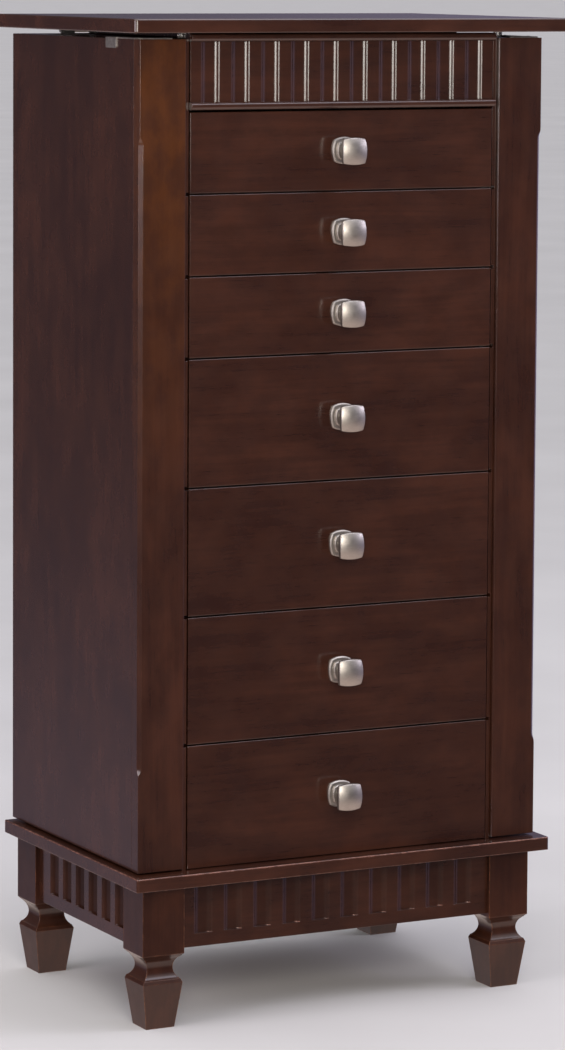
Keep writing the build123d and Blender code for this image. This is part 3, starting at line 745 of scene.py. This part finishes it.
def pouch_point(side, across, up):
    """A point of a gathered pocket: across runs from front to back and up from its foot, 0 to 1."""
    low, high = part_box(f"{side}_pouch")
    sign = SIDES[side]
    wall = side_of(f"{side}_pouch", sign)
    ends = min(1.0, math.sin(math.pi * across) ** 0.4 + 0.02)
    foot = min(1.0, up / FOOT_SHARE)
    waist = max(0.0, (up - WAIST_SHARE) / (HEM_SHARE - WAIST_SHARE))
    body = math.sin(foot * math.pi / 2) * (1.0 - DRAWN_IN * waist ** 1.5)
    if up > HEM_SHARE:
        body += MOUTH_FLARE * (up - HEM_SHARE) / (1 - HEM_SHARE)
    drift = waver((across * 9, up * 2.3, sign * 4.0))
    phase = 2 * math.pi * GATHERS * across + 2.2 * drift
    near_hem = math.exp(-((up - HEM_SHARE) / HEM_REACH) ** 2)
    near_foot = math.exp(-(up / FOOT_REACH) ** 2)
    height = (RIPPLE + HEM_RIPPLE * near_hem + FOOT_RIPPLE * near_foot * min(1.0, up / 0.03)) * MM
    ripple = height * (math.sin(phase) + 0.35 * math.sin(1.7 * phase + 1.0))
    slack = POUCH_SLACK * waver((across * 5, up * 3.5, sign * 9.0))
    out = (POUCH_FULLNESS * body + slack * body) * ends
    out += ripple * min(1.0, 1.3 * ends) * min(1.0, up / 0.02)
    out = min(max(out, 0.0), high[0] - low[0] - POUCH_ROOM) + POUCH_GAP
    sag = HEM_SAG * math.sin(phase + 0.7) * near_hem
    y = low[1] + POUCH_MARGIN + (high[1] - low[1] - 2 * POUCH_MARGIN) * across
    z = low[2] + POUCH_MARGIN + (high[2] - low[2] - 2 * POUCH_MARGIN) * up + sag
    return Vector((wall - sign * out, y, z))


def pouch_cloth(side, material):
    """The pocket itself, open at the top."""
    mesh = bmesh.new()
    rows = []
    for level in range(POUCH_LEVELS + 1):
        up = level / POUCH_LEVELS
        points = (pouch_point(side, column / POUCH_COLUMNS, up) for column in range(POUCH_COLUMNS + 1))
        rows.append([mesh.verts.new(point) for point in points])
    join_rows(mesh, rows)
    return show(f"{side}_door_pouch", mesh, material, f"{side}_door")


def pouch_hem(side, material):
    """The elastic's casing, a thin tube that follows the gathers."""
    mesh = bmesh.new()
    wide, tall = 0.8 * HEM_RADIUS, 1.5 * HEM_RADIUS
    rows = []
    for column in range(POUCH_COLUMNS + 1):
        centre = pouch_point(side, column / POUCH_COLUMNS, HEM_SHARE)
        row = []
        for step in range(HEM_STEPS):
            angle = 2 * math.pi * step / HEM_STEPS
            offset = Vector((wide * math.cos(angle), 0.0, tall * math.sin(angle)))
            row.append(mesh.verts.new(centre + offset))
        rows.append(row)
    join_rows(mesh, rows, closed=True)
    return show(f"{side}_pouch_hem", mesh, material, f"{side}_door")


def pouch(side, material):
    """Pocket low on a door, gathered on elastic along its mouth and sewn down at its foot and ends."""
    cloth = pouch_cloth(side, material)
    hem = pouch_hem(side, material)
    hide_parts(f"{side}_pouch")


# ---------------------------------------------------------------- screws

HEAD_RINGS = (0.12, 0.2, 0.28, 0.36, 0.44, 0.52, 0.62, 0.8, 0.93, 1.0)
HEAD_STEPS = 40
# In radii of the head: its crown, its lift off the surface, and half the width of the cross,
# its reach and its depth.
HEAD_CROWN, HEAD_LIFT = 0.24, 0.02
CROSS_HALF, CROSS_REACH, CROSS_DEPTH = 0.13, 0.56, 0.3
LEAF_THICKNESS = 1.2 * MM
PIN_RADIUS = 1.2 * MM


def screw_heads(name, places, radius, body, material):
    """Cross-recessed screw heads. places are (centre on the surface, direction out of it)."""
    mesh = bmesh.new()
    for centre, outward in places:
        spin = Matrix.Rotation(centre[2] * 900, 3, "Z")  # each screw stops at its own angle
        turn = Vector(outward).to_track_quat("Z", "Y").to_matrix() @ spin
        rows = []
        for ring in HEAD_RINGS:
            row = []
            for step in range(HEAD_STEPS):
                angle = 2 * math.pi * step / HEAD_STEPS
                x, y = ring * math.cos(angle), ring * math.sin(angle)
                rise = HEAD_CROWN * math.sqrt(max(0.0, 1.0 - ring ** 2)) + HEAD_LIFT
                if min(abs(x), abs(y)) < CROSS_HALF and ring < CROSS_REACH:
                    rise -= CROSS_DEPTH * (1.0 - ring)
                row.append(mesh.verts.new(Vector(centre) + turn @ (Vector((x, y, rise)) * radius)))
            rows.append(row)
        join_rows(mesh, rows, closed=True)
        mesh.faces.new(rows[0])
    show(name, mesh, material, body)


def hinge_screws(material):
    """Two screws in each leaf of each hinge."""
    along, across, radius = 16.0 * MM, 8.0 * MM, 2.5 * MM
    half_hinge, lid_hinge_x = 24.4 * MM, 150 * MM
    back = (0.0, 1.0, 0.0)
    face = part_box("lid_panel")[1][1] + LEAF_THICKNESS
    pins_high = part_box("hinge_pins")[1]
    case_places, lid_places = [], []
    lid_axis = pins_high[2] - PIN_RADIUS
    for x in (-lid_hinge_x, lid_hinge_x):
        for shift in (-along, along):
            case_places.append(((x + shift, face, lid_axis - across), back))
            lid_places.append(((x + shift, face, lid_axis + across), back))
    screw_heads("lid_hinge_screws", lid_places, radius, "lid", material)
    for side, sign in SIDES.items():
        axis = sign * (pins_high[0] - PIN_RADIUS)
        low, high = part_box(f"{side}_door_hinge_leaves")
        heights = (low[2] + half_hinge, (low[2] + high[2]) / 2, high[2] - half_hinge)
        door_places = []
        for z in heights:
            for shift in (-along, along):
                case_places.append(((axis - sign * across, face, z + shift), back))
                door_places.append(((axis + sign * across, face, z + shift), back))
        screw_heads(f"{side}_door_hinge_screws", door_places, radius, f"{side}_door", material)
    screw_heads("case_hinge_screws", case_places, radius, "case", material)


def plate_screws(material):
    """Screws in the corner plates and the door catches."""
    radius, catch_inset = 2.1 * MM, 8 * MM
    spots = ((-7.5, 13.0), (-7.5, 61.0), (-31.5, 4.5))  # mm, from a plate's outer front corner
    catch_low, catch_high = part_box("door_catches")
    catch_places = []
    for side, sign in SIDES.items():
        low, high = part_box(f"{side}_corner_plate")
        outer = side_of(f"{side}_corner_plate", sign)
        top = high[2]
        places = [((outer + sign * x * MM, low[1] + y * MM, top), (0, 0, 1)) for x, y in spots]
        screw_heads(f"{side}_plate_screws", places, radius, f"{side}_door", material)
        for z in (catch_low[2] + catch_inset, catch_high[2] - catch_inset):
            spot = (sign * catch_high[0], (catch_low[1] + catch_high[1]) / 2, z)
            catch_places.append((spot, (sign, 0, 0)))
    screw_heads("catch_screws", catch_places, radius, "case", material)


# ---------------------------------------------------------------- studio

AIM = Vector((0.0, 0.0, 0.55))  # of the lights
WARM, COOL, PINK = (1.0, 0.95, 0.88), (0.86, 0.84, 1.0), (0.94, 0.87, 0.94)
TOWARD_LEFT, TOWARD_RIGHT = (-0.42, 0.907, 0.0), (0.98, 0.17, 0.0)
# The world's light by direction. Only the camera sees the backdrop, past the floor.
EYE_LEVEL = (0.052, 0.048, 0.056, 1)
LEFT_LEVEL, LEFT_LOW = (0.075, 0.065, 0.08, 1), (0.33, 0.28, 0.36, 1)
RIGHT_VIOLET = (0.30, 0.27, 0.42, 1)
BELOW = (1.0, 0.81, 0.75, 1)
ZENITH = (1.5, 1.5, 1.58, 1)
BACKDROP = (0.62, 0.62, 0.63, 1)
FLOOR_REACH = 160.0


def make_floor():
    """A floor that runs far past the view on every side."""
    rings, steps = 24, 64
    mesh = bmesh.new()
    centre = mesh.verts.new((0, 0, 0))
    last = None
    for ring in range(1, rings + 1):
        radius = FLOOR_REACH * (ring / rings) ** 3  # closer together near the chest
        angles = [2 * math.pi * step / steps for step in range(steps)]
        verts = [mesh.verts.new((radius * math.cos(a), radius * math.sin(a), 0)) for a in angles]
        for step in range(steps):
            after = (step + 1) % steps
            if last is None:
                mesh.faces.new((centre, verts[step], verts[after]))
            else:
                mesh.faces.new((last[step], verts[step], verts[after], last[after]))
        last = verts
    data = bpy.data.meshes.new("floor")
    mesh.to_mesh(data)
    mesh.free()
    floor = bpy.data.objects.new("floor", data)
    floor.data.materials.append(floor_paint("floor_paint"))
    bpy.context.scene.collection.objects.link(floor)
    floor.visible_glossy = False


def softbox(name, azimuth, height, distance, size, power, colour):
    """A rectangular soft light that faces the chest. Azimuth 0 is in front; 90 degrees is at +X."""
    data = bpy.data.lights.new(name, "AREA")
    data.shape = "RECTANGLE"
    data.size, data.size_y = size
    data.energy = power
    data.color = colour
    light = bpy.data.objects.new(name, data)
    turn = math.radians(azimuth)
    place = Vector((distance * math.sin(turn), -distance * math.cos(turn), height))
    light.location = place
    light.rotation_euler = (AIM - place).to_track_quat("-Z", "Y").to_euler()
    light.visible_camera = False
    bpy.context.scene.collection.objects.link(light)


def light_world():
    """Dim at eye level, so that the varnish stays dark; violet to the sides, pale above, tan below."""
    world = bpy.data.worlds.new("studio")
    bpy.context.scene.world = world
    world.use_nodes = True
    n = Nodes(world.node_tree)
    direction = n.place("Generated")
    # The layers set in over a range of the direction's height, or of its lean to a side.
    height = n.part(direction, "Z")
    toward_left = n.vector_maths("DOT_PRODUCT", direction, TOWARD_LEFT)
    toward_right = n.vector_maths("DOT_PRODUCT", direction, TOWARD_RIGHT)
    violet = n.mix(n.spread(height, -0.1, -0.26), LEFT_LEVEL, LEFT_LOW)
    level = n.mix(n.spread(toward_left, 0.90, 0.99), EYE_LEVEL, violet)
    level = n.mix(n.spread(toward_right, 0.45, 0.85), level, RIGHT_VIOLET)
    below = n.mix(n.spread(height, -0.22, -0.52), level, BELOW)
    glow = n.mix(n.spread(height, 0.4, 0.85), below, ZENITH)
    to_camera = n.node("LightPath", {}).outputs["Is Camera Ray"]
    n.feed(n.tree.nodes["Background"].inputs["Color"], n.mix(to_camera, glow, BACKDROP))


def light_studio():
    """Four soft lights and the world. Powers are in watts."""
    softbox("key", azimuth=-22, height=1.6, distance=4.2, size=(1.9, 1.8), power=130, colour=WARM)
    softbox("left_fill", azimuth=-82, height=1.4, distance=3.6, size=(2.2, 1.8), power=72, colour=PINK)
    softbox("right_fill", azimuth=66, height=2.0, distance=4.0, size=(1.0, 1.3), power=40, colour=COOL)
    softbox("overhead", azimuth=45, height=3.2, distance=1.6, size=(1.4, 1.4), power=18, colour=COOL)
    light_world()
    bpy.context.scene.view_settings.view_transform = "Standard"


make_camera()
felt_lining, steel = finish_nodes()
line_drawers(felt_lining)
line_tray(felt_lining)
ring_rolls(felt_lining)
for side in SIDES:
    felt_panel(side, felt_lining)
    pouch(side, felt_lining)
hinge_screws(steel)
plate_screws(steel)
make_floor()
light_studio()
